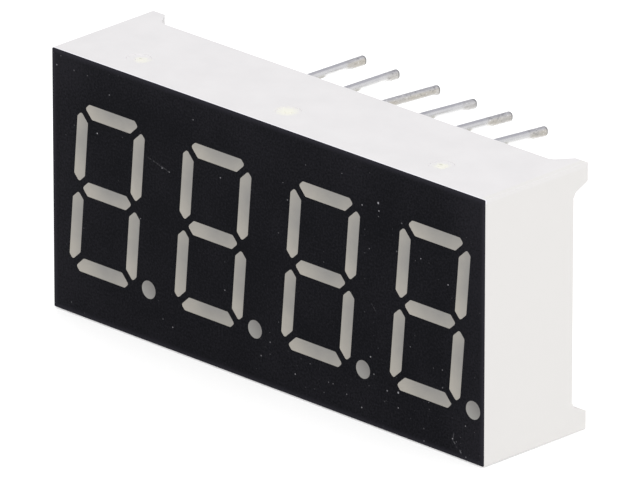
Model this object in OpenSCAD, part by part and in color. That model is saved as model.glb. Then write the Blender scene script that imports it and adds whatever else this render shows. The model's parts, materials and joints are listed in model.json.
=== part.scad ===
// Four-digit seven-segment LED display module with through-hole leads.
//
// A moulded reflector housing carries a black printed mask on its front. Behind each
// window of the mask a tapered light cavity leads back to one LED chip on the circuit
// board. Clear-milky resin, poured from the back, fills the cavities and covers the
// board. Two rows of round wire leads leave the resin at the back.
//
// x runs across the digits, y runs back from the viewing face and z runs up. Lengths
// are in millimetres. Inside the modules y = 0 is the viewing face and z = 0 the
// middle of the height; in_frame() then moves each piece to where the module stands
// on its long side, centred on the origin.

/* [Housing] */
// Width over the back of the housing
body_w = 30.1; // [29.9:0.1:40]
// Height over the back of the housing
body_h = 14; // [13.7:0.1:20]
// Depth from the viewing face to the back rim, without the feet
body_depth = 6.22; // [5.8:0.02:9]
// Draft of the four outer sides, which makes the front a little smaller
draft_angle = 0.5; // [0:0.1:1.5]
// Thickness of the wall round the circuit board, at the back
wall = 1; // [0.7:0.05:1.05]
// Width of the broken outer edge of the back rim, between the feet
rim_break = 0.06; // [0.02:0.02:0.3]
// How much is broken off the four long edges, along both of their sides
edge_break = 0.04; // [0.02:0.02:0.16]
// Radius of the upright inner corners of the recess behind the board
recess_r = 0.15; // [0.05:0.01:0.18]
// Thickness of the black printed mask on the viewing face
print_t = 0.05; // [0.02:0.01:0.1]

/* [Feet] */
// Height of the corner feet behind the back rim
foot_h = 0.98; // [0.5:0.02:2]
// Width of a foot's end face, across the digits
foot_end_w = 0.75; // [0.6:0.05:1.5]
// Height of a foot's end face
foot_end_h = 0.95; // [0.9:0.05:1.3]
// How much wider a foot is at its root
foot_flare_w = 0.75; // [0.3:0.05:1]
// How much higher a foot is at its root
foot_flare_h = 0.45; // [0.35:0.05:0.8]
// Radius of the edges of a foot's end
foot_r = 0.1; // [0.05:0.05:0.3]
// Radius of the hollow where a foot's flare meets the rim
foot_fillet_r = 0.3; // [0.1:0.05:0.5]

/* [Moulding gates] */
// Diameter of the sunk rings that the gates left on the top side
gate_d = 1.3; // [0.6:0.1:1.5]
// Depth of those rings
gate_depth = 0.03; // [0.02:0.01:0.1]
// Diameter of the gate stub in the middle of each ring
gate_stub_d = 0.4; // [0.2:0.1:0.5]
// Distance of the gates from the viewing face
gate_y = 1.9; // [1:0.1:3.5]
// Number of gates
gate_count = 3; // [1:1:3]
// Spacing of the gates
gate_pitch = 10.5; // [6:0.5:12]
// Sideways place of the middle of the row of gates
gate_x = -0.25; // [-1:0.05:1]

/* [Digits] */
// Number of digits
digit_count = 4; // [1:1:4]
// Spacing of the digits
digit_pitch = 7.49; // [7:0.01:7.55]
// Sideways place of the middle of the row of digits
digits_x = 0.1; // [-0.2:0.01:0.12]
// How far the digits stand above the middle of the height
digits_z = 0.02; // [-0.1:0.01:0.1]
// Width of a digit, without its slant
digit_w = 4.78; // [4.2:0.01:5]
// Height of a digit
digit_h = 9.11; // [7.6:0.01:9.3]
// Slant of the digits from upright
slant = 4.9; // [0:0.1:8]
// Width of a segment
segment_w = 0.76; // [0.6:0.01:1]
// Gap between the mitred ends of two segments
segment_gap = 0.38; // [0.2:0.02:0.5]
// How much is cut off each outer corner of a digit, along both of its sides
corner_cut = 0.78; // [0.5:0.01:1.1]
// Radius of the corners of a segment
segment_r = 0.12; // [0.04:0.01:0.16]
// Diameter of the decimal point
dot_d = 0.96; // [0.8:0.02:1.1]
// Sideways distance from a digit's middle to its decimal point
dot_x = 2.94; // [2.8:0.02:3.02]
// Height of the decimal point's centre above the foot of the digit
dot_rise = 0.37; // [0.3:0.01:0.8]

/* [Light cavities] */
// Depth of the straight mouth of each cavity
mouth_depth = 0.8; // [0.3:0.1:1.5]
// How far each long side of a cavity leans in by the time it reaches the board
side_taper = 0.08; // [0:0.01:0.12]
// How far each end of a cavity leans in by the time it reaches the board
end_taper = 0.7; // [0.2:0.05:0.9]

/* [Circuit board] */
// Depth of the board's front behind the viewing face
board_y = 4; // [3.5:0.1:4.3]
// Thickness of the board
board_t = 1; // [0.6:0.1:1.2]
// Gap round the board's edge
board_gap = 0.2; // [0.1:0.05:0.3]
// Gap between the reflector and the board, which the resin fills
film_t = 0.15; // [0.08:0.01:0.25]
// Diameter of the locating posts between the digits
post_d = 1.2; // [0.8:0.1:1.4]
// Width of the shoulder round each post, which the board rests on
post_shoulder = 0.4; // [0.2:0.05:0.5]
// Radial gap of the posts in the board
post_gap = 0.05; // [0.03:0.01:0.15]
// Width of bare board left beside the outermost copper pad
pad_margin = 0.1; // [0.05:0.05:0.2]
// How far the posts stand out behind the board
post_proud = 0.2; // [0.05:0.05:0.4]
// Diameter of the plated lead holes
lead_hole_d = 0.6; // [0.55:0.05:0.7]
// Thickness of the copper
copper_t = 0.035; // [0.02:0.005:0.07]
// Diameter of the copper ring round each lead hole
ring_d = 1.1; // [0.9:0.05:1.2]
// How far the resin stays below the back rim
fill_recess = 0.2; // [0.05:0.05:0.3]

/* [Chips and bond wires] */
// Side of an LED chip
chip_w = 0.25; // [0.18:0.01:0.3]
// Thickness of an LED chip
chip_t = 0.2; // [0.1:0.01:0.25]
// Side of the copper pads under a chip and under its wire
pad_w = 0.4; // [0.35:0.01:0.45]
// Radius of the bond wire's loop, half the distance from chip to pad
loop_r = 0.25; // [0.24:0.01:0.3]
// Diameter of the bond wire
wire_d = 0.04; // [0.03:0.01:0.06]

/* [Leads] */
// Number of leads in each row
leads_per_row = 6; // [2:1:10]
// Spacing of the leads in a row
lead_pitch = 2.54; // [2:0.01:2.6]
// Distance between the two rows
row_spacing = 10.16; // [9.9:0.01:10.4]
// Diameter of a lead
lead_d = 0.45; // [0.4:0.01:0.55]
// Diameter of a lead's inner end, which tapers to start in the board's hole
shank_tip_d = 0.4; // [0.3:0.01:0.4]
// Length of a lead behind the feet
lead_free = 6.2; // [3:0.1:12]
// How far a lead stands in front of the board
lead_inner = 0.45; // [0.1:0.05:0.6]
// Gap round a lead's inner end in its pocket
pocket_gap = 0.15; // [0.1:0.01:0.2]
// Radius of a lead's tip edge
tip_r = 0.12; // [0.04:0.01:0.18]
// How far the tin has run to the underside of a lead's end
tin_sag = 0.07; // [0.02:0.01:0.1]
// How gently that tin thins out along the lead
tin_fade = 0.35; // [0.1:0.05:0.4]
// Length of the tin's run on the leads of the lower row
tin_len = 1; // [0.6:0.1:1.6]
// Height of the solder fillet on the back of the board
fillet_h = 0.45; // [0.2:0.05:0.6]
// How wide the solder fillet is at its foot, beyond the lead
fillet_w = 0.25; // [0.15:0.01:0.3]
// Straight length behind the feet before a knocked lead starts to bend
straight_len = 0.6; // [0.3:0.1:1.5]
// Centre-line radius of that bend
bend_r = 1.5; // [0.5:0.1:3]

/* [Hidden] */
// How far cutting shapes pass the faces that they cut
over = 0.1;
// Chords in each rounded corner of a segment
corner_steps = 2;
// Chords in the other small rounded edges
edge_steps = 4;
// Chords round a decimal point
dot_steps = 32;
$fn = 48;

// Where the tips of the upper leads have been knocked to, sideways and up, left to right
UPPER_TIP_SHIFT = [
    [0, -0.06], [-0.21, -0.19], [0.1, -0.28],
    [0.11, -0.33], [0.03, -0.35], [-0.09, -0.48]
];
// Length of the tin's run on each of them
UPPER_TIN_LEN = [1.3, 0.9, 0.6, 0.9, 1.7, 1.3];

overall_depth = body_depth + foot_h;
total_depth = overall_depth + lead_free;
board_back = board_y + board_t;
reflector_back = board_y - film_t;
fill_level = body_depth - fill_recess;
pocket_d = shank_tip_d + 2 * pocket_gap;
foot_root_w = foot_end_w + foot_flare_w;
foot_root_h = foot_end_h + foot_flare_h;
chip_top = board_y - copper_t - chip_t;
board_w = body_w - 2 * (wall + board_gap);
// How much slimmer the tin's run is at its back than at the tip
tin_swell = tin_sag / 4;
// The resin is drawn as one block this far inside the outer sides, before all else is cut from it
casting_margin = 0.1;

// The seven segments in order, and then the decimal point
TOP = 0;
UPPER_RIGHT = 1;
LOWER_RIGHT = 2;
BOTTOM = 3;
LOWER_LEFT = 4;
UPPER_LEFT = 5;
MIDDLE = 6;
SEGMENTS = [TOP, UPPER_RIGHT, LOWER_RIGHT, BOTTOM, LOWER_LEFT, UPPER_LEFT, MIDDLE];

// Every lead's row (1 is the upper) and place in it, numbered as the leads are
LEADS = [for (row = [1, -1]) for (i = [0 : leads_per_row - 1]) [row, i]];

// The sideways places of the posts, one between each two digits
POST_PLACES = [for (i = [1 : 1 : digit_count - 1]) digits_x + (i - digit_count / 2) * digit_pitch];

function digit_name(stem, digit) = str(stem, "_", digit + 1);
function lead_name(i) = str("lead_", i < 9 ? "0" : "", i + 1);

// ---- Outlines ----

function reversed(list) = [for (i = [len(list) - 1 : -1 : 0]) list[i]];
function unit(v) = v / norm(v);
function heading(angle) = [cos(angle), sin(angle)];
function turn(a, b, c) = sign((b - a)[0] * (c - b)[1] - (b - a)[1] * (c - b)[0]);

// The arc that rounds corner b, between its neighbours a and c
function corner_arc(a, b, c, r, steps) =
    let (to_a = unit(a - b))
    let (to_c = unit(c - b))
    let (half = acos(to_a * to_c) / 2)
    let (centre = b + unit(to_a + to_c) * r / sin(half))
    let (start = b + to_a * r / tan(half) - centre)
    let (first = atan2(start[1], start[0]))
    let (sweep = turn(a, b, c) * (180 - 2 * half))
    [for (s = [0 : steps]) centre + r * heading(first + sweep * s / steps)];

// A closed outline with every corner rounded
function rounded(points, r, steps) =
    let (n = len(points))
    [
        for (i = [0 : n - 1])
            each corner_arc(points[(i + n - 1) % n], points[i], points[(i + 1) % n], r, steps)
    ];

// Half the size of the drafted shell at a depth, where size is the full size at the back
function half_at(size, y) = size / 2 - (overall_depth - y) * tan(draft_angle);

// The side of the shell that breaks two of its long edges, seen along a diagonal
function diagonal_outline() =
    let (back = half_diagonal(overall_depth))
    let (front = half_diagonal(print_t))
    [[-back, overall_depth], [back, overall_depth], [front, print_t], [-front, print_t]];
function half_diagonal(y) = (half_at(body_w, y) + half_at(body_h, y) - edge_break) / sqrt(2);

// The viewing face, with the corners that the broken long edges leave
function face_outline() =
    let (x = half_at(body_w, 0))
    let (z = half_at(body_h, 0))
    let (right = [[x - edge_break, z], [x, z - edge_break], [x, edge_break - z], [x - edge_break, -z]])
    concat(right, reversed([for (p = right) [-p[0], p[1]]]));

// One view of the shell, as [across, depth]: the block and its feet, seen along z or x
function shell_outline(size, foot_end, foot_flare) =
    let (back = size / 2)
    let (front = half_at(size, print_t))
    let (root = [back - foot_end - foot_flare, body_depth])
    let (end = [[back - foot_end, overall_depth], [back, overall_depth], [front, print_t]])
    let (right = concat(
        corner_arc([0, body_depth], root, end[0], foot_fillet_r, edge_steps),
        corner_arc(root, end[0], end[1], foot_r, edge_steps),
        corner_arc(end[0], end[1], end[2], foot_r, edge_steps),
        [end[2]]
    ))
    concat(right, reversed([for (p = right) [-p[0], p[1]]]));

// How far from a foot's root, along the rim, the hollow beside it starts
function fillet_run(foot_flare) = foot_fillet_r * tan(atan2(foot_h, foot_flare) / 2);

// The recess behind the reflector, or a board that lies in it with a gap all round.
// Its corners step in round the posts that carry the feet.
function recess_outline(gap) =
    let (x = body_w / 2 - wall - gap)
    let (z = body_h / 2 - wall - gap)
    let (post_x = body_w / 2 - foot_root_w - gap)
    let (post_z = body_h / 2 - foot_root_h - gap)
    let (corner = [[x, post_z], [post_x, post_z], [post_x, z]])
    let (top = concat(corner, reversed([for (p = corner) [-p[0], p[1]]])))
    rounded(concat(top, reversed([for (p = top) [p[0], -p[1]]])), recess_r, edge_steps);

// ---- Digits ----

// The corner of the line that runs along the middle of the segments
line_x = digit_w / 2 - segment_w / 2;
line_z = digit_h / 2 - segment_w / 2;
// A mitred end lies this far from the line's corner, measured along x or z
mitre_gap = segment_gap / sqrt(2);

// The outlines below are clockwise, upright and centred on the digit. side moves the
// long edges in, and end moves both ends in, without turning any edge.
function top_outline(side, end) =
    let (outer = digit_h / 2 - side)
    let (inner = digit_h / 2 - segment_w + side)
    let (mitre = line_z - line_x + mitre_gap + end)
    let (cut = digit_w / 2 + digit_h / 2 - corner_cut - end)
    let (tip = [(cut - mitre) / 2, (cut + mitre) / 2])
    [
        [outer - cut, outer], [cut - outer, outer], tip,
        [inner - mitre, inner], [mitre - inner, inner], [-tip[0], tip[1]]
    ];

function upright_outline(side, end) =
    let (outer = digit_w / 2 - side)
    let (inner = digit_w / 2 - segment_w + side)
    let (mitre = line_z - line_x - mitre_gap - end)
    let (cut = digit_w / 2 + digit_h / 2 - corner_cut - end)
    let (low = mitre_gap + end)
    [
        [inner, low + line_x - inner], [inner, inner + mitre], [(cut - mitre) / 2, (cut + mitre) / 2],
        [outer, cut - outer], [outer, low + outer - line_x], [line_x, low]
    ];

function middle_outline(side, end) =
    let (half = segment_w / 2 - side)
    let (tip = line_x - mitre_gap - end)
    [
        [-tip, 0], [half - tip, half], [tip - half, half],
        [tip, 0], [tip - half, -half], [half - tip, -half]
    ];

// A mirrored copy that is still clockwise
function mirrored(points, sx, sz) =
    let (copy = [for (p = points) [sx * p[0], sz * p[1]]])
    sx * sz < 0 ? reversed(copy) : copy;

function plain_outline(segment, side, end) =
    segment == TOP ? top_outline(side, end) :
    segment == UPPER_RIGHT ? upright_outline(side, end) :
    segment == LOWER_RIGHT ? mirrored(upright_outline(side, end), 1, -1) :
    segment == BOTTOM ? mirrored(top_outline(side, end), 1, -1) :
    segment == LOWER_LEFT ? mirrored(upright_outline(side, end), -1, -1) :
    segment == UPPER_LEFT ? mirrored(upright_outline(side, end), -1, 1) :
    middle_outline(side, end);

function digit_centre(digit) = digits_x + (digit - (digit_count - 1) / 2) * digit_pitch;
// A point of an upright digit, slanted and moved to its place
function placed(p, digit) = [digit_centre(digit) + p[0] + p[1] * tan(slant), digits_z + p[1]];
function dot_centre(digit) = [digit_centre(digit) + dot_x, digits_z + dot_rise - digit_h / 2];
// The last decimal point lies nearer the side than the board reaches, so the cavities
// of all the points lean this far in towards their digits
dot_lean = max(0, dot_centre(digit_count - 1)[0] + pad_w / 2 + pad_margin - board_w / 2);
function dot_throat(digit) = dot_centre(digit) - [dot_lean, 0];

function segment_outline(digit, segment, side = 0, end = 0) =
    [for (p = rounded(plain_outline(segment, side, end), segment_r, corner_steps)) placed(p, digit)];
function dot_outline(centre) =
    [for (s = [0 : dot_steps - 1]) centre + dot_d / 2 * heading(-360 * s / dot_steps)];

// ---- Shared shapes ----

// Moves a piece from the modules' own axes to where the module stands on its long side
module in_frame() {
    translate([0, -total_depth / 2, body_h / 2])
        children();
}

// Extrudes an outline that is drawn in x and z from depth y0 to depth y1
module along_y(y0, y1) {
    translate([0, y1, 0])
        rotate([90, 0, 0])
            linear_extrude(y1 - y0)
                children();
}

// Turns a profile of [radius, depth] about an axis that runs back through [x, z]
module turned(x, z, profile) {
    translate([x, 0, z])
        rotate([-90, 0, 0])
            rotate_extrude()
                polygon(profile);
}

// A solid through rings of [depth, outline], whose outlines have the same number of points
module loft(rings) {
    n = len(rings[0][1]);
    last = (len(rings) - 1) * n;
    points = [for (ring = rings) for (p = ring[1]) [p[0], ring[0], p[1]]];
    sides = [
        for (r = [0 : n : last - 1])
            for (i = [0 : n - 1])
                [r + i, r + n + i, r + n + (i + 1) % n, r + (i + 1) % n]
    ];
    front = [for (i = [0 : n - 1]) i];
    back = [for (i = [n - 1 : -1 : 0]) last + i];
    polyhedron(points, concat([front], sides, [back]));
}

// One light cavity: a straight mouth, then a funnel down to the chip
module segment_cavity(digit, segment) {
    mouth = segment_outline(digit, segment);
    throat = segment_outline(digit, segment, side_taper, end_taper);
    loft([[print_t - over, mouth], [mouth_depth, mouth], [board_y, throat]]);
}

module dot_cavity(digit) {
    mouth = dot_outline(dot_centre(digit));
    throat = dot_outline(dot_throat(digit));
    loft([[print_t - over, mouth], [mouth_depth, mouth], [board_y, throat]]);
}

module cavities() {
    for (digit = [0 : digit_count - 1]) {
        for (segment = SEGMENTS) {
            segment_cavity(digit, segment);
        }
        dot_cavity(digit);
    }
}

// ---- Housing ----

// The drafted block with its four feet, as the common part of two side views and two
// diagonal views
module shell() {
    diagonal = body_w + body_h;
    intersection() {
        linear_extrude(body_h + 2 * over, center = true)
            polygon(shell_outline(body_w, foot_end_w, foot_flare_w));
        rotate([0, -90, 0])
            linear_extrude(body_w + 2 * over, center = true)
                polygon(shell_outline(body_h, foot_end_h, foot_flare_h));
        for (angle = [-45, 45]) {
            rotate([0, angle, 0])
                linear_extrude(diagonal, center = true)
                    polygon(diagonal_outline());
        }
    }
}

// A square bar on its edge that breaks one outer edge of the rim, drawn as [across, depth]
module rim_break_section(size) {
    half = half_at(size, body_depth);
    for (s = [-1, 1]) {
        polygon([
            [s * half - rim_break, body_depth], [s * half, body_depth - rim_break],
            [s * half + rim_break, body_depth], [s * half, body_depth + rim_break]
        ]);
    }
}

module rim_breaks() {
    linear_extrude(body_h - 2 * (foot_root_h + fillet_run(foot_flare_h)), center = true)
        rim_break_section(body_w);
    rotate([0, -90, 0])
        linear_extrude(body_w - 2 * (foot_root_w + fillet_run(foot_flare_w)), center = true)
            rim_break_section(body_h);
}

module gate_marks() {
    for (i = [0 : gate_count - 1]) {
        x = gate_x + (i - (gate_count - 1) / 2) * gate_pitch;
        translate([x, gate_y, half_at(body_h, gate_y) - gate_depth])
            difference() {
                cylinder(d = gate_d, h = gate_depth + over);
                translate([0, 0, -over])
                    cylinder(d = gate_stub_d, h = gate_depth + over);
            }
    }
}

// Room in the reflector for the inner ends of the leads
module lead_pockets() {
    bottom = board_y - lead_inner - pocket_gap;
    for (i = [0 : len(LEADS) - 1]) {
        p = lead_place(i);
        turned(p[0], p[1], [[0, bottom], [pocket_d / 2, bottom], [pocket_d / 2, board_y], [0, board_y]]);
    }
}

// The posts between the digits that the board is pressed on, with the shoulders it rests on
module locating_posts() {
    r = post_d / 2;
    root = reflector_back - over;
    tip = board_back + post_proud;
    for (x = POST_PLACES) {
        turned(x, 0, [
            [0, root], [r + post_shoulder, root], [r + post_shoulder, board_y],
            [r, board_y], [r, tip], [0, tip]
        ]);
    }
}

module housing_solid() {
    difference() {
        shell();
        along_y(reflector_back, overall_depth + over)
            polygon(recess_outline(0));
        cavities();
        lead_pockets();
        rim_breaks();
        gate_marks();
    }
    locating_posts();
}

module housing() {
    color("whitesmoke")
        in_frame()
            housing_solid();
}

// ---- Face print ----

module face_print_solid() {
    along_y(0, print_t)
        difference() {
            polygon(face_outline());
            for (digit = [0 : digit_count - 1]) {
                for (segment = SEGMENTS) {
                    polygon(segment_outline(digit, segment));
                }
                polygon(dot_outline(dot_centre(digit)));
            }
        }
}

module face_print() {
    color([0.12, 0.11, 0.13])
        in_frame()
            face_print_solid();
}

// ---- Circuit board ----

module circuit_board_solid() {
    along_y(board_y, board_back)
        difference() {
            polygon(recess_outline(board_gap));
            for (i = [0 : len(LEADS) - 1]) {
                translate(lead_place(i))
                    circle(d = lead_hole_d);
            }
            for (x = POST_PLACES) {
                translate([x, 0])
                    circle(d = post_d + 2 * post_gap);
            }
        }
}

module circuit_board() {
    color("darkseagreen")
        in_frame()
            circuit_board_solid();
}

// The direction a segment runs in, and the middle of it
function lies_flat(segment) = segment == TOP || segment == BOTTOM || segment == MIDDLE;
function along_segment(segment) = lies_flat(segment) ? 0 : 90 - slant;
function segment_middle(segment) =
    segment == TOP ? [0, line_z] :
    segment == UPPER_RIGHT ? [line_x, line_z / 2] :
    segment == LOWER_RIGHT ? [line_x, -line_z / 2] :
    segment == BOTTOM ? [0, -line_z] :
    segment == LOWER_LEFT ? [-line_x, -line_z / 2] :
    segment == UPPER_LEFT ? [-line_x, line_z / 2] :
    [0, 0];

// Draws its children once for each chip of a digit, at the board's front, with x along the light bar
module at_each_chip(digit) {
    for (segment = SEGMENTS) {
        p = placed(segment_middle(segment), digit);
        translate([p[0], board_y, p[1]])
            rotate([0, -along_segment(segment), 0])
                children();
    }
    dot = dot_throat(digit);
    translate([dot[0], board_y, dot[1]])
        rotate([0, -90, 0])
            children();
}

// The pads under the chips and their wires, and the rings round the lead holes
module copper_pads_solid() {
    for (digit = [0 : digit_count - 1]) {
        at_each_chip(digit)
            for (s = [-1, 1]) {
                translate([s * loop_r, -copper_t / 2, 0])
                    cube([pad_w, copper_t, pad_w], center = true);
            }
    }
    along_y(board_back, board_back + copper_t)
        for (i = [0 : len(LEADS) - 1]) {
            translate(lead_place(i))
                difference() {
                    circle(d = ring_d);
                    circle(d = lead_hole_d);
                }
        }
}

module copper_pads() {
    color("peru")
        in_frame()
            copper_pads_solid();
}

// ---- Chips and bond wires ----

module led_chips_solid(digit) {
    at_each_chip(digit)
        translate([-loop_r, -copper_t - chip_t / 2, 0])
            cube([chip_w, chip_t, chip_w], center = true);
}

module led_chips(digit) {
    color("khaki")
        in_frame()
            led_chips_solid(digit);
}

// From the top of each chip a wire rises, loops over and comes down on its pad
module bond_wires_solid(digit) {
    at_each_chip(digit)
        translate([0, chip_top - board_y, 0])
            rotate([180, 0, 0]) {
                rotate_extrude(angle = 180, $fn = 32)
                    translate([loop_r, 0])
                        circle(d = wire_d, $fn = 16);
                translate([loop_r, 0, 0])
                    rotate([90, 0, 0])
                        cylinder(d = wire_d, h = chip_t, $fn = 16);
            }
}

module bond_wires(digit) {
    color("gold")
        in_frame()
            bond_wires_solid(digit);
}

// ---- Leads ----

// A lead's place as [x, z]
function lead_place(i) = [
    (LEADS[i][1] - (leads_per_row - 1) / 2) * lead_pitch,
    LEADS[i][0] * row_spacing / 2
];

// How far a lead's tip has been knocked aside, as [x, z]
function tip_shift(i) =
    LEADS[i][0] > 0 && LEADS[i][1] < len(UPPER_TIP_SHIFT) ? UPPER_TIP_SHIFT[LEADS[i][1]] : [0, 0];

// How far back from a lead's tip its tin has run
function tin_run(i) =
    LEADS[i][0] > 0 && LEADS[i][1] < len(UPPER_TIN_LEN) ? UPPER_TIN_LEN[LEADS[i][1]] : tin_len;

// The tin on the underside of an end that reaches depth y: it thins out to a point at the
// back and swells a little towards the tip
function tin_profile(y, run) = concat(
    [[0, y - run], [lead_d / 2 - tin_sag, y - run + tin_fade / 2]],
    [[lead_d / 2 - tin_swell, y - run + tin_fade]],
    tip_profile(y)
);

// The rounded end of a lead that reaches depth y, from its side to its axis
function tip_profile(y) = concat(
    [for (s = [0 : edge_steps]) [lead_d / 2 - tip_r, y - tip_r] + tip_r * heading(90 * s / edge_steps)],
    [[0, y]]
);

// The shank tapers through the resin and is round and parallel from the back rim on
function shank_profile(free_end) = concat(
    [[0, board_y - lead_inner], [shank_tip_d / 2, board_y - lead_inner], [lead_d / 2, body_depth]],
    free_end
);

module straight_lead(run) {
    turned(0, 0, shank_profile(tip_profile(total_depth)));
    turned(0, -tin_sag, tin_profile(total_depth, run));
}

// A lead that bends towards its shifted tip, just behind the feet
module knocked_lead(shift, run) {
    way = atan2(-shift[1], shift[0]);
    bend_y = overall_depth + straight_len;
    angle = atan2(norm(shift), total_depth - bend_y);
    tail = total_depth - bend_y - bend_r * sin(angle);
    turned(0, 0, shank_profile([[lead_d / 2, bend_y], [0, bend_y]]));
    translate([0, bend_y, 0])
        rotate([-90, 0, 0])
            rotate([0, 0, way]) {
                translate([bend_r, 0, 0])
                    rotate([90, 0, 180])
                        rotate_extrude(angle = angle)
                            translate([bend_r, 0])
                                circle(d = lead_d);
                translate([bend_r * (1 - cos(angle)), 0, bend_r * sin(angle)])
                    rotate([0, angle, 0]) {
                        rotate_extrude()
                            polygon(concat([[0, 0], [lead_d / 2, 0]], tip_profile(tail)));
                        translate(tin_sag * [sin(way), cos(way), 0])
                            rotate_extrude()
                                polygon(tin_profile(tail, run));
                    }
            }
}

module lead_solid(i) {
    p = lead_place(i);
    shift = tip_shift(i);
    translate([p[0], 0, p[1]])
        if (norm(shift) > 0) {
            knocked_lead(shift, tin_run(i));
        } else {
            straight_lead(tin_run(i));
        }
}

module lead(i) {
    color("silver")
        in_frame()
            lead_solid(i);
}

// The solder that fills each plated hole and rises round the lead behind the board
module solder_joints_solid() {
    foot = board_back + copper_t;
    r = lead_d / 2;
    slope = [
        for (s = [0 : edge_steps])
            let (h = heading(90 * s / edge_steps))
            [r + fillet_w * (1 - h[1]), foot + fillet_h * (1 - h[0])]
    ];
    plug = [[0, board_y], [lead_hole_d / 2, board_y], [lead_hole_d / 2, foot]];
    for (i = [0 : len(LEADS) - 1]) {
        p = lead_place(i);
        difference() {
            turned(p[0], p[1], concat(plug, slope, [[0, foot + fillet_h]]));
            translate([p[0], 0, p[1]])
                turned(0, 0, shank_profile([[lead_d / 2, overall_depth], [0, overall_depth]]));
        }
    }
}

module solder_joints() {
    color("lightgray")
        in_frame()
            solder_joints_solid();
}

// ---- Resin ----

// One casting that takes all the room left inside the housing, up to the fill level
module resin_solid() {
    half_block = [half_at(body_w, 0), half_at(body_h, 0)] - [casting_margin, casting_margin];
    difference() {
        along_y(0, fill_level)
            square(2 * half_block, center = true);
        housing_solid();
        face_print_solid();
        circuit_board_solid();
        copper_pads_solid();
        solder_joints_solid();
        for (digit = [0 : digit_count - 1]) {
            led_chips_solid(digit);
            bond_wires_solid(digit);
        }
        for (i = [0 : len(LEADS) - 1]) {
            lead_solid(i);
        }
    }
}

module resin() {
    color([0.7, 0.7, 0.69])
        in_frame()
            resin_solid();
}

housing();
face_print();
resin();
circuit_board();
copper_pads();
solder_joints();
for (d = [0 : digit_count - 1]) {
    led_chips(d);
    bond_wires(d);
}
for (i = [0 : len(LEADS) - 1]) {
    lead(i);
}
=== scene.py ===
"""Looks, light and camera for a four-digit seven-segment display module."""
import json
import math

import bpy
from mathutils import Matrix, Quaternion, Vector


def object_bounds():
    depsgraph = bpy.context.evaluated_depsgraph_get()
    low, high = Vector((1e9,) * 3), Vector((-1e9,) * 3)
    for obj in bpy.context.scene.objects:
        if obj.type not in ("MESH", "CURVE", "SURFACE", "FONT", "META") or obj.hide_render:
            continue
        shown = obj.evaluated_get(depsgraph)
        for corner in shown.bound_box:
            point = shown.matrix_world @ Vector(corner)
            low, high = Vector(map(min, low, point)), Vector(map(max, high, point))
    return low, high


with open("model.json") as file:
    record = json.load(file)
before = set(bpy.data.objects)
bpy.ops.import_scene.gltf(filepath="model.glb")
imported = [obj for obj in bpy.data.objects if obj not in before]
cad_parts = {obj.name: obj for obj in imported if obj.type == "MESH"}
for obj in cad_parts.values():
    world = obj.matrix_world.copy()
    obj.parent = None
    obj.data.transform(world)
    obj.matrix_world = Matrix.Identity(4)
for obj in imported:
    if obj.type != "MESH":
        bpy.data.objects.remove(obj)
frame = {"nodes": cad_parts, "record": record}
CAD_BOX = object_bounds()
NODES = frame["nodes"]
MM = 0.001

# ---- Places, in millimetres in the part's own frame ----

# The outer box
LOW, HIGH = ([v / MM for v in corner] for corner in CAD_BOX)
FACE_Y = LOW[1]
TIP_Y = HIGH[1]
SIDE_X = HIGH[0]
TOP_Z = HIGH[2]
MIDDLE_Z = TOP_Z / 2

# The leads, from the mount that names the ends of both rows
MOUNTS = {mount["name"]: mount for mount in frame["record"]["mounts"]}
LEADS = MOUNTS["leads_outer"]
LEAD_ROW = LEADS["dims"]["spacing_x_mm"]
LEAD_PITCH = LEAD_ROW / 5
LEAD_Z = LEADS["dims"]["spacing_y_mm"] / 2
# Where the upper leads come into view behind the top side
ROOT_Y = 3.55
# For each column of leads, how far from its tip the dull tin reaches, all the way on the third,
# and how yellow it is from 0 to 1
TINS = ((1.3, 0.9), (0.9, 0.3), (9.0, 0.8), (0.9, 0.1), (1.7, 1.0), (1.3, 0.9))

# The digits, as in the part's source. BAR_X and BAR_Z are the outer bars' centre lines
DIGIT_PITCH = 7.49
DIGIT_W = 4.78
DIGIT_H = 9.11
BAR_W = 0.76
DIGITS_X = 0.1
DIGITS_Z = MIDDLE_Z + 0.02
SLANT = math.tan(math.radians(4.9))
BAR_X = (DIGIT_W - BAR_W) / 2
BAR_Z = (DIGIT_H - BAR_W) / 2
DOT_X = 2.94
DOT_Z = DIGITS_Z - DIGIT_H / 2 + 0.37
DOT_R = 0.48

# The gate marks on the top side
GATE_Y = FACE_Y + 1.9
GATE_X = -0.25
GATE_PITCH = 10.5
GATE_XS = tuple(GATE_X + i * GATE_PITCH for i in (-1, 0, 1))

# Dust on the face: x, z and radius
SPECKS = (
    (7.8, 11.85, 0.075), (7.85, 11.45, 0.045), (6.7, 11.45, 0.045), (12.55, 8.9, 0.045),
    (10.7, 9.75, 0.04), (9.2, 2.3, 0.07), (9.2, 1.5, 0.04), (7.3, 3.65, 0.05), (6.7, 0.8, 0.045),
    (2.1, 1.25, 0.045), (-3.1, 10.2, 0.04), (-11.8, 10.2, 0.05), (-7.2, 9.6, 0.04),
    (-6.7, 9.52, 0.035), (-6.5, 1.3, 0.04), (12.9, 0.95, 0.045),
)
# Hairlines on the face: x and z of the middle, half the length, angle and strength
HAIRS = (
    (-7.45, 9.72, 1.0, -14.0, 0.12), (13.05, 0.75, 0.3, -50.0, 0.25), (12.95, 1.1, 0.2, -100.0, 0.15),
    (13.45, 0.4, 0.15, -60.0, 0.35), (7.5, 6.3, 0.3, -50.0, 0.08), (8.35, 1.6, 0.15, 20.0, 0.2),
)

scene = bpy.context.scene
scene.view_settings.view_transform = "Standard"


# ---- Camera ----

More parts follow.
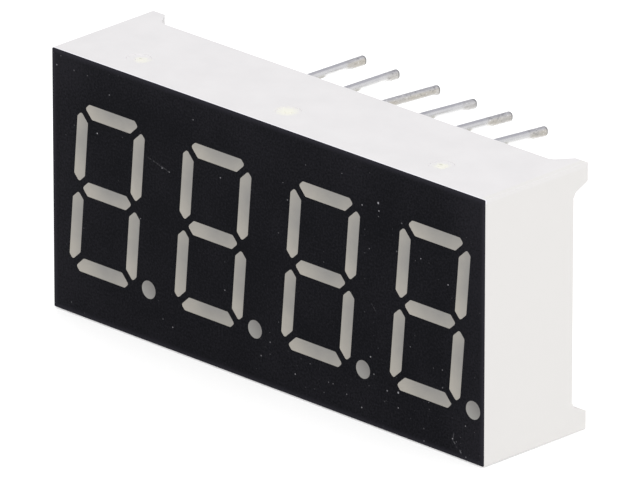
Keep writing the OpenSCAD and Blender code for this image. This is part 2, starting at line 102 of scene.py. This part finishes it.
def set_camera(look_at_mm, azimuth, elevation, roll, distance_mm, lens):
    """A camera that stands at that azimuth and elevation and looks at a point."""
    a, e = math.radians(azimuth), math.radians(elevation)
    back = Vector((math.sin(a) * math.cos(e), -math.cos(a) * math.cos(e), math.sin(e)))
    data = bpy.data.cameras.new("camera")
    data.lens = lens
    data.sensor_width = 36.0
    data.clip_start = 0.01
    data.clip_end = 10.0
    camera = bpy.data.objects.new("camera", data)
    camera.location = (Vector(look_at_mm) + back * distance_mm) * MM
    camera.rotation_mode = "QUATERNION"
    camera.rotation_quaternion = Quaternion(back, math.radians(roll)) @ back.to_track_quat("Z", "Y")
    scene.collection.objects.link(camera)
    scene.camera = camera


# The camera that was fitted to the photo
set_camera(
    look_at_mm=(3.4401, FACE_Y + 0.3783, 8.61),
    azimuth=44.7666,
    elevation=21.4245,
    roll=0.0151,
    distance_mm=563.614,
    lens=647.411,
)


# ---- Node helpers ----

class Nodes:
    """A small builder for the nodes of a material or a world."""

    def __init__(self, tree):
        self.tree = tree

    def link(self, value, socket):
        """Puts a number, colour or output into a socket."""
        if isinstance(value, bpy.types.NodeSocket):
            self.tree.links.new(value, socket)
        else:
            socket.default_value = value

    def math(self, operation, *values, clamp=False):
        node = self.tree.nodes.new("ShaderNodeMath")
        node.operation = operation
        node.use_clamp = clamp
        for i, value in enumerate(values):
            self.link(value, node.inputs[i])
        return node.outputs[0]

    def split(self, vector):
        node = self.tree.nodes.new("ShaderNodeSeparateXYZ")
        self.link(vector, node.inputs[0])
        return node.outputs

    def remap(self, value, low, high, to_low, to_high):
        """The value moved from one range to another, and kept inside it."""
        node = self.tree.nodes.new("ShaderNodeMapRange")
        self.link(value, node.inputs["Value"])
        node.inputs["From Min"].default_value = low
        node.inputs["From Max"].default_value = high
        node.inputs["To Min"].default_value = to_low
        node.inputs["To Max"].default_value = to_high
        return node.outputs["Result"]

    def band(self, value, low, high):
        """0 below low, 1 above high, smooth between; the other way round if low is the larger."""
        rising = low < high
        ends = (0.0, 1.0) if rising else (1.0, 0.0)
        result = self.remap(value, min(low, high), max(low, high), *ends)
        result.node.interpolation_type = "SMOOTHSTEP"
        return result

    def mix(self, factor, first, second):
        """A colour between two, at a factor from 0 to 1."""
        node = self.tree.nodes.new("ShaderNodeMix")
        node.data_type = "RGBA"
        self.link(factor, node.inputs["Factor"])
        for value, name in ((first, "A"), (second, "B")):
            socket = [s for s in node.inputs if s.name == name and s.type == "RGBA"][0]
            self.link(value, socket)
        return [s for s in node.outputs if s.type == "RGBA"][0]

    def choose(self, which, first, second):
        """The first number where which is 0, and the second where it is 1."""
        return self.math("ADD", first, self.math("MULTIPLY", which, self.math("SUBTRACT", second, first)))

    def seen_rays(self):
        """1 for the camera's rays, reflections and what is seen through glass; and the kinds of ray."""
        path = self.tree.nodes.new("ShaderNodeLightPath")
        seen = self.math("MAXIMUM", path.outputs["Is Camera Ray"], path.outputs["Is Glossy Ray"])
        return self.math("MAXIMUM", seen, path.outputs["Is Transmission Ray"]), path


class Shader(Nodes):
    """A material with its shader, and places in millimetres."""

    def __init__(self, name):
        self.material = bpy.data.materials.new(name)
        self.material.use_nodes = True
        super().__init__(self.material.node_tree)
        self.bsdf = self.tree.nodes["Principled BSDF"]
        self.output = self.tree.nodes["Material Output"]
        coords = self.tree.nodes.new("ShaderNodeTexCoord")
        scale = self.tree.nodes.new("ShaderNodeMapping")
        scale.inputs["Scale"].default_value = (1.0 / MM, 1.0 / MM, 1.0 / MM)
        self.tree.links.new(coords.outputs["Object"], scale.inputs["Vector"])
        self.mm = scale.outputs["Vector"]

    def moved(self, operation, amount):
        """The places with a vector added or multiplied in."""
        node = self.tree.nodes.new("ShaderNodeVectorMath")
        node.operation = operation
        self.link(self.mm, node.inputs[0])
        self.link(amount, node.inputs[1])
        return node.outputs["Vector"]

    def noise(self, scale, detail=2.0, roughness=0.5, vector=None):
        """Noise with that many features a millimetre."""
        node = self.tree.nodes.new("ShaderNodeTexNoise")
        self.link(vector or self.mm, node.inputs["Vector"])
        node.inputs["Scale"].default_value = scale
        node.inputs["Detail"].default_value = detail
        node.inputs["Roughness"].default_value = roughness
        return node.outputs["Fac"]

    def cells(self, scale, across=None):
        """Distance from a cell's point and two random values of the cell.

        Across holds the two axes of a flat pattern.
        """
        node = self.tree.nodes.new("ShaderNodeTexVoronoi")
        vector = self.mm
        if across:
            node.voronoi_dimensions = "2D"
            plane = self.tree.nodes.new("ShaderNodeCombineXYZ")
            self.link(across[0], plane.inputs[0])
            self.link(across[1], plane.inputs[1])
            vector = plane.outputs[0]
        self.link(vector, node.inputs["Vector"])
        node.inputs["Scale"].default_value = scale
        split = self.tree.nodes.new("ShaderNodeSeparateColor")
        self.link(node.outputs["Color"], split.inputs[0])
        return node.outputs["Distance"], split.outputs[0], split.outputs[1]

    def specks(self, scale, share, size, across=None):
        """Small round specks: about share of the cells of that scale hold one, and size is in cells."""
        distance, pick, spread = self.cells(scale, across)
        radius = self.math("MULTIPLY", spread, size)
        inside = self.band(self.math("SUBTRACT", distance, radius), 0.0, -size * 0.5)
        return self.math("MULTIPLY", inside, self.math("LESS_THAN", pick, share))

    def tint(self, base, mask, amount, colour):
        """The base colour with that amount of another over it where the mask is 1."""
        return self.mix(self.math("MULTIPLY", mask, amount), base, colour)

    def surface(self, colour, roughness, specular=0.5, metallic=0.0):
        """Puts the looks into the shader's own sockets."""
        self.link(colour, self.bsdf.inputs["Base Color"])
        self.link(roughness, self.bsdf.inputs["Roughness"])
        self.link(specular, self.bsdf.inputs["Specular IOR Level"])
        self.link(metallic, self.bsdf.inputs["Metallic"])

    def bump(self, height, distance_mm, strength):
        """Relief from a height of 0 to 1 that stands up to that distance."""
        node = self.tree.nodes.new("ShaderNodeBump")
        node.inputs["Strength"].default_value = strength
        node.inputs["Distance"].default_value = distance_mm * MM
        self.link(height, node.inputs["Height"])
        self.link(node.outputs["Normal"], self.bsdf.inputs["Normal"])


def rgb(r, g, b):
    """A colour given as linear values from 0 to 1."""
    return (r, g, b, 1.0)


def srgb(r, g, b):
    """A colour given as 0 to 255 display values."""
    def one(v):
        v /= 255.0
        return v / 12.92 if v <= 0.04045 else ((v + 0.055) / 1.055) ** 2.4
    return (one(r), one(g), one(b), 1.0)


def near(s, x, z, at_x, at_z, stretch=1.0):
    """Distance in x and z from a point, with x divided by stretch."""
    dx = s.math("DIVIDE", s.math("SUBTRACT", x, at_x), stretch)
    dz = s.math("SUBTRACT", z, at_z)
    return s.math("SQRT", s.math("ADD", s.math("MULTIPLY", dx, dx), s.math("MULTIPLY", dz, dz)))


def hairline(s, x, z, at_x, at_z, half_length, angle):
    """A hairline through a point of the face, as a mask that fades at both ends."""
    a = math.radians(angle)
    dx, dz = s.math("SUBTRACT", x, at_x), s.math("SUBTRACT", z, at_z)
    along = s.math("ADD", s.math("MULTIPLY", dx, math.cos(a)), s.math("MULTIPLY", dz, math.sin(a)))
    across = s.math("SUBTRACT", s.math("MULTIPLY", dz, math.cos(a)), s.math("MULTIPLY", dx, math.sin(a)))
    line = s.band(s.math("ABSOLUTE", across), 0.05, 0.015)
    return s.math("MULTIPLY", line, s.band(s.math("ABSOLUTE", along), half_length, half_length * 0.5))


# ---- Materials ----

def housing_material():
    """White plastic with painted warm shade on its right side, a painted highlight along its top edges,
    and a yellowish stain with a painted highlight at each gate mark.
    """
    s = Shader("white_moulded_plastic")
    x, y, z = s.split(s.mm)
    mottle = s.noise(0.5, 3.0, 0.55)
    fine = s.noise(9.0, 2.0, 0.6)
    colour = s.mix(s.remap(mottle, 0.35, 0.65, 0.0, 1.0), srgb(234, 232, 233), srgb(237, 235, 236))
    # Painted warm shade: the right side is tinted warmer than the top, standing in for warmer light there
    painted_warm_side = s.band(x, SIDE_X - 0.5, SIDE_X - 0.3)
    colour = s.mix(painted_warm_side, colour, srgb(236, 234, 232))
    on_top = s.band(z, TOP_Z - 0.3, TOP_Z - 0.2)

    # For each gate: how far aside the stain and its painted highlight lie, its radius and its strength
    stains_and_highlights = ((0.25, 0.55, 0.7), (-0.1, 0.75, 0.9), (0.0, 0.5, 0.9))
    for gate_x, (aside, size, strength) in zip(GATE_XS, stains_and_highlights):
        ragged = s.remap(fine, 0.3, 0.7, -0.12, 0.12)
        away = s.math("ADD", near(s, x, y, gate_x + aside, GATE_Y), ragged)
        # Each mark is yellowish and paler than the plastic around it: partly a real stain, partly a
        # painted highlight
        stain = s.math("MULTIPLY", s.band(away, size, size * 0.3), on_top)
        colour = s.tint(colour, stain, strength, srgb(247, 246, 234))

    # The darker stubs of the outer gates: how far aside, and half the length
    stub_half_width = 0.06
    for gate_x, aside, half_length in ((GATE_XS[0], 0.06, 0.07), (GATE_XS[2], -0.12, 0.13)):
        away = near(s, x, y, gate_x + aside, GATE_Y + 0.05, half_length / stub_half_width)
        stub = s.math("MULTIPLY", s.band(away, 0.09, 0.04), on_top)
        colour = s.tint(colour, stub, 0.7, srgb(206, 206, 190))

    # A painted highlight line along the top side's edges, faint on the right
    edge_in, edge_out = 0.16, 0.08
    painted_side_highlight = s.math("MULTIPLY", s.band(x, SIDE_X - edge_in, SIDE_X - edge_out), 0.12)
    painted_edge_highlight = s.math("MAXIMUM", s.band(y, FACE_Y + edge_in, FACE_Y + edge_out), painted_side_highlight)
    colour = s.tint(colour, painted_edge_highlight, on_top, srgb(250, 249, 255))

    soil = s.specks(0.7, 0.10, 0.05)
    colour = s.tint(colour, soil, 0.25, srgb(150, 148, 152))
    s.surface(colour, s.remap(mottle, 0.3, 0.7, 0.45, 0.55), specular=0.12)
    s.bump(fine, 0.003, 0.5)
    return s.material


def mask_material():
    """Black ink that is a little greyer near the sides and lighter at its outline, with dust on it."""
    s = Shader("black_printed_mask")
    x, _, z = s.split(s.mm)
    cloud = s.noise(0.35, 3.0, 0.6)
    grain = s.noise(8.5, 2.0, 0.7)
    tone = s.math("ADD", s.remap(cloud, 0.35, 0.65, -0.12, 0.12), s.remap(grain, 0.3, 0.7, -0.5, 0.5))
    side = s.band(s.math("ABSOLUTE", x), SIDE_X - 3.5, SIDE_X - 0.3)
    upper = s.band(z, TOP_Z - 2.5, TOP_Z - 0.2)
    lower = s.band(z, 4.0, 0.5)
    edges = s.math("ADD", s.math("MULTIPLY", side, 0.35), s.math("MULTIPLY", upper, 0.2))
    edges = s.math("ADD", edges, s.math("MULTIPLY", lower, 0.12))
    tone = s.math("ADD", s.math("ADD", tone, edges), 0.22, clamp=True)
    black = s.mix(tone, rgb(0.0033, 0.0036, 0.0053), rgb(0.0153, 0.0147, 0.0189))
    rim_x = s.math("SUBTRACT", SIDE_X, s.math("ABSOLUTE", x))
    rim_z = s.math("SUBTRACT", MIDDLE_Z, s.math("ABSOLUTE", s.math("SUBTRACT", z, MIDDLE_Z)))
    # Lighter within 0.4 mm of the outline
    lighter_outline = s.band(s.math("MINIMUM", rim_x, rim_z), 0.4, 0.05)
    black = s.tint(black, lighter_outline, 0.8, rgb(0.027, 0.026, 0.034))

    # Fine dust lies thickest low on the right, and some at the upper left corner
    strip = s.math("MULTIPLY", s.band(z, 4.5, 2.5), s.band(x, -3.0, 2.0))
    dusty = s.math("MAXIMUM", strip, s.math("MULTIPLY", s.band(x, 2.0, 7.0), 0.35))
    corner = s.math("MULTIPLY", s.band(x, -7.0, -11.0), s.band(z, 8.0, 11.0))
    dusty = s.math("MAXIMUM", dusty, s.math("MULTIPLY", corner, 0.6))
    marks = s.specks(3.2, s.remap(dusty, 0.0, 1.0, 0.02, 0.2), 0.17, across=(x, z))
    strengths = s.remap(s.noise(2.6, 0.0), 0.4, 0.65, 0.08, 0.6)
    marks = s.math("MULTIPLY", marks, strengths)

    for hair_x, hair_z, half_length, angle, strength in HAIRS:
        hair = hairline(s, x, z, hair_x, hair_z, half_length, angle)
        worn = s.math("MULTIPLY", s.band(grain, 0.4, 0.55), strength)
        marks = s.math("MAXIMUM", marks, s.math("MULTIPLY", hair, worn))
    for speck_x, speck_z, radius in SPECKS:
        speck = s.band(near(s, x, z, speck_x, speck_z), radius, radius * 0.4)
        marks = s.math("MAXIMUM", marks, speck)
    colour = s.mix(marks, black, rgb(0.36, 0.355, 0.38))
    s.surface(colour, s.remap(grain, 0.3, 0.7, 0.38, 0.5), specular=0.03)
    s.bump(grain, 0.003, 0.5)
    return s.material


def bar_tone(s, across, z):
    """0 to 1: the resin in a bar is lightest at its lower left, where its cavity catches most light."""
    v = s.math("SUBTRACT", z, DIGITS_Z)
    u = s.math("SUBTRACT", across, s.math("MULTIPLY", v, SLANT))
    to_side = s.math("SUBTRACT", BAR_X, s.math("ABSOLUTE", u))

    # The mitres part the lying bars from the upright ones
    lying = s.math("LESS_THAN", s.math("PINGPONG", v, BAR_Z / 2), to_side)
    upright_run = s.math("DIVIDE", s.math("WRAP", v, BAR_Z, 0.0), BAR_Z)
    upright_off = s.math("MULTIPLY", s.math("SIGN", u), s.math("MULTIPLY", to_side, -1.0))
    lying_run = s.remap(u, -BAR_X, BAR_X, 0.0, 1.0)
    lying_off = s.math("WRAP", v, BAR_Z / 2, -BAR_Z / 2)

    # run goes from 0 to 1 along the bar, up or to the right, and off is the distance from its
    # centre line, up or to the right. The tone rises again a little at the bar's far end
    run = s.choose(lying, upright_run, lying_run)
    off = s.choose(lying, upright_off, lying_off)
    tone = s.math("ADD", s.math("MULTIPLY", s.band(run, 0.58, 0.05), 0.67), 0.26)
    tone = s.math("ADD", tone, s.math("MULTIPLY", s.band(run, 0.7, 0.9), 0.15))
    return s.math("ADD", tone, s.math("MULTIPLY", off, -0.69))


def resin_material():
    """Milky grey in the windows; paler at the back, where the solder rings show through faintly."""
    s = Shader("milky_resin")
    x, y, z = s.split(s.mm)
    cloud = s.noise(0.9, 3.0, 0.6)
    grain = s.noise(7.0, 2.0, 0.6)

    # across is measured from the middle of the digit that the place lies in
    digit_x = DIGITS_X + DIGIT_PITCH / 2
    across = s.math("WRAP", s.math("SUBTRACT", x, digit_x), DIGIT_PITCH / 2, -DIGIT_PITCH / 2)
    tone = s.math("ADD", bar_tone(s, across, z), s.remap(cloud, 0.3, 0.7, -0.12, 0.12), clamp=True)
    front = s.mix(tone, srgb(146, 144, 141), srgb(177, 172, 163))

    # The dots are greyer, with painted light at their lower left, as in the bars
    point = s.band(near(s, across, z, DOT_X, DOT_Z), DOT_R * 1.6, DOT_R * 1.3)
    lean = s.math("ADD", s.math("SUBTRACT", across, DOT_X), s.math("SUBTRACT", z, DOT_Z))
    dot = s.mix(s.remap(lean, 0.5, -0.5, 0.0, 1.0), srgb(129, 127, 125), srgb(154, 152, 148))
    front = s.mix(point, front, dot)

    lead_x = s.math("SUBTRACT", s.math("WRAP", x, LEAD_PITCH, 0.0), LEAD_PITCH / 2)
    lead_z = s.math("SUBTRACT", s.math("ABSOLUTE", s.math("SUBTRACT", z, MIDDLE_Z)), LEAD_Z)
    in_row = s.math("LESS_THAN", s.math("ABSOLUTE", x), LEAD_ROW / 2 + LEAD_PITCH / 2)
    ring = s.math("MULTIPLY", s.band(near(s, lead_x, lead_z, 0.0, 0.0), 0.75, 0.5), in_row)
    back = s.mix(s.remap(cloud, 0.3, 0.7, 0.0, 1.0), srgb(186, 188, 170), srgb(200, 200, 186))
    back = s.tint(back, ring, 0.5, srgb(178, 172, 160))
    colour = s.mix(s.band(y, FACE_Y + 4.5, FACE_Y + 5.5), front, back)
    s.surface(colour, s.remap(grain, 0.3, 0.7, 0.3, 0.4), specular=0.3)
    s.bump(grain, 0.003, 0.4)
    return s.material


def tin_material():
    """Bright bare wire, with uneven, rougher and slightly yellowed tin on the dipped ends that carries
    painted glints and painted shade.
    """
    s = Shader("dipped_tin")
    x, y, _ = s.split(s.mm)
    facing = s.split(s.tree.nodes.new("ShaderNodeNewGeometry").outputs["Normal"])[2]
    tin = 0.0
    stain = 0.0
    for column, (run, yellow) in enumerate(TINS):
        lead_x = (column - (len(TINS) - 1) / 2) * LEAD_PITCH
        away = s.math("ABSOLUTE", s.math("SUBTRACT", x, lead_x))
        here = s.band(away, LEAD_PITCH * 0.5, LEAD_PITCH * 0.4)
        coat = s.band(y, TIP_Y - run - 0.3, TIP_Y - run + 0.1)
        tin = s.math("MAXIMUM", tin, s.math("MULTIPLY", here, coat))
        stain = s.math("MAXIMUM", stain, s.math("MULTIPLY", here, yellow))
    cloud = s.noise(1.6, 3.0, 0.6)
    grain = s.noise(9.0, 3.0, 0.65, vector=s.moved("MULTIPLY", (1.0, 0.5, 1.0)))
    patch = s.band(s.noise(0.8, 2.0, 0.5, vector=s.moved("ADD", (5.0, 3.0, 9.0))), 0.2, 0.6)
    shade = s.remap(cloud, 0.3, 0.7, 0.0, 1.0)

    # The tin is stained on its flanks, pitted with darker specks, has painted glints and painted shade on
    # its lower flanks, and is darker at the very tip
    coated = s.mix(shade, srgb(216, 215, 215), srgb(228, 227, 226))
    stain = s.math("MULTIPLY", s.math("MULTIPLY", patch, stain), s.band(facing, 0.85, 0.3))
    stain = s.math("MULTIPLY", stain, s.band(facing, -0.8, -0.1))
    coated = s.mix(stain, coated, srgb(217, 211, 198))
    coated = s.tint(coated, s.band(grain, 0.44, 0.34), 0.6, srgb(160, 159, 158))
    # Painted glints: near-white specks where the grain is highest
    coated = s.tint(coated, s.band(grain, 0.58, 0.68), 0.9, srgb(255, 254, 253))
    # Painted shade on the lower flank of each lead
    painted_lower_shade = s.math("MULTIPLY", s.band(facing, 0.35, -0.1), s.band(facing, -0.7, -0.3))
    rim = s.band(y, TIP_Y - 0.2, TIP_Y - 0.1)
    coated = s.tint(coated, painted_lower_shade, 0.4, srgb(152, 149, 146))
    coated = s.tint(coated, rim, 0.8, srgb(126, 124, 127))

    # The bare wire is darker on its underside near the root, up to just past where it comes into view
    bare = s.mix(shade, srgb(228, 228, 229), srgb(242, 241, 240))
    dark_root_underside = s.math("MULTIPLY", s.band(y, ROOT_Y + 0.3, ROOT_Y), s.band(facing, 0.3, -0.3))
    bare = s.tint(bare, dark_root_underside, 0.8, srgb(158, 155, 147))

    uneven = s.remap(grain, 0.3, 0.7, -0.06, 0.06)
    roughness = s.math("ADD", uneven, s.remap(tin, 0.0, 1.0, 0.22, 0.42))
    s.surface(s.mix(tin, bare, coated), roughness, metallic=1.0)
    s.bump(s.math("MULTIPLY", grain, s.remap(tin, 0.0, 1.0, 0.2, 1.0)), 0.018, 0.7)
    return s.material


def metal_material(name, dark, light, roughness):
    """A slightly uneven metal."""
    s = Shader(name)
    cloud = s.noise(2.5, 3.0, 0.6)
    grain = s.noise(15.0, 2.0, 0.6)
    colour = s.mix(s.remap(cloud, 0.3, 0.7, 0.0, 1.0), dark, light)
    s.surface(colour, s.remap(grain, 0.3, 0.7, roughness - 0.06, roughness + 0.06), metallic=1.0)
    s.bump(cloud, 0.01, 0.7)
    return s.material


def board_material():
    """Pale yellowish green laminate."""
    s = Shader("board_laminate")
    weave = s.noise(6.0, 2.0, 0.5)
    s.surface(s.mix(weave, srgb(150, 160, 112), srgb(176, 182, 134)), 0.5)
    s.bump(weave, 0.01, 0.5)
    return s.material


def chip_material():
    """Yellow crystal."""
    s = Shader("led_crystal")
    grain = s.noise(20.0, 2.0, 0.5)
    s.surface(s.mix(grain, srgb(120, 96, 40), srgb(170, 140, 70)), 0.25)
    return s.material


MATERIALS = {
    "white_housing": housing_material(),
    "black_mask": mask_material(),
    "milky_resin": resin_material(),
    "board_laminate": board_material(),
    "copper": metal_material("plated_copper", srgb(176, 110, 78), srgb(214, 150, 112), 0.35),
    "solder": metal_material("solder", srgb(176, 176, 174), srgb(206, 206, 204), 0.3),
    "led_chip": chip_material(),
    "gold_wire": metal_material("gold_wire", srgb(210, 164, 80), srgb(238, 198, 112), 0.25),
    "tinned_wire": tin_material(),
}

for part in frame["record"]["subparts"]:
    mesh = NODES[part["node"]].data
    mesh.materials.clear()
    mesh.materials.append(MATERIALS[part["material_slot"]])


# ---- Floor and light ----

WHITE = rgb(1.0, 1.0, 1.0)
PAPER = rgb(0.86, 0.86, 0.86)
BELT = rgb(0.50, 0.50, 0.55)
FLOOR_HALF = 1.5
FLOOR_DROP = 0.00002
FLOOR_GLOW = 0.38


def add_floor():
    """A white floor that keeps the shadow. Reflections show it a little dimmer at the back right."""
    mesh = bpy.data.meshes.new("floor")
    r = FLOOR_HALF
    mesh.from_pydata([(-r, -r, 0), (r, -r, 0), (r, r, 0), (-r, r, 0)], [], [(0, 1, 2, 3)])
    floor = bpy.data.objects.new("floor", mesh)
    floor.location.z = -FLOOR_DROP
    scene.collection.objects.link(floor)
    s = Shader("floor_white")
    seen, path = s.seen_rays()
    x, y, _ = s.split(s.mm)
    far = s.math("MULTIPLY", s.band(x, 8.0, 14.0), s.band(y, 15.0, 22.0))
    far = s.math("MULTIPLY", far, path.outputs["Is Glossy Ray"])
    seen = s.math("SUBTRACT", seen, far)
    glow = s.tree.nodes.new("ShaderNodeEmission")
    glow.inputs["Color"].default_value = WHITE
    s.link(s.math("MULTIPLY", seen, FLOOR_GLOW), glow.inputs["Strength"])
    paper = s.tree.nodes.new("ShaderNodeBsdfDiffuse")
    paper.inputs["Color"].default_value = PAPER
    both = s.tree.nodes.new("ShaderNodeAddShader")
    s.link(glow.outputs[0], both.inputs[0])
    s.link(paper.outputs[0], both.inputs[1])
    s.link(both.outputs[0], s.output.inputs["Surface"])
    s.tree.nodes.remove(s.bsdf)
    mesh.materials.append(s.material)


def set_world(strength):
    """Even light of that strength, a white background, and a dim bluish belt at the back left.

    Only reflections show the belt.
    """
    world = bpy.data.worlds.new("world")
    world.use_nodes = True
    scene.world = world
    w = Nodes(world.node_tree)
    background = w.tree.nodes["Background"]
    seen, path = w.seen_rays()
    level = w.math("ADD", w.math("MULTIPLY", seen, 1.0 - strength), strength)
    w.link(level, background.inputs["Strength"])
    coords = w.tree.nodes.new("ShaderNodeTexCoord")
    x, y, _ = w.split(coords.outputs["Generated"])
    belt = w.math("MULTIPLY", w.band(y, 0.1, 0.4), w.remap(w.band(x, 0.5, -0.1), 0.0, 1.0, 0.45, 1.0))
    belt = w.math("MULTIPLY", belt, path.outputs["Is Glossy Ray"])
    w.link(w.mix(belt, WHITE, BELT), background.inputs["Color"])


def add_softbox(name, direction, distance, size, energy):
    """A square lamp that faces the middle of the part."""
    lamp = bpy.data.lights.new(name, "AREA")
    lamp.shape = "SQUARE"
    lamp.size = size
    lamp.energy = energy
    obj = bpy.data.objects.new(name, lamp)
    way = Vector(direction).normalized()
    obj.location = way * distance
    obj.rotation_mode = "QUATERNION"
    obj.rotation_quaternion = way.to_track_quat("Z", "Y")
    scene.collection.objects.link(obj)


add_floor()
set_world(strength=0.8)
add_softbox("key", direction=(0.62, -0.45, 0.95), distance=0.6, size=0.45, energy=1.2)
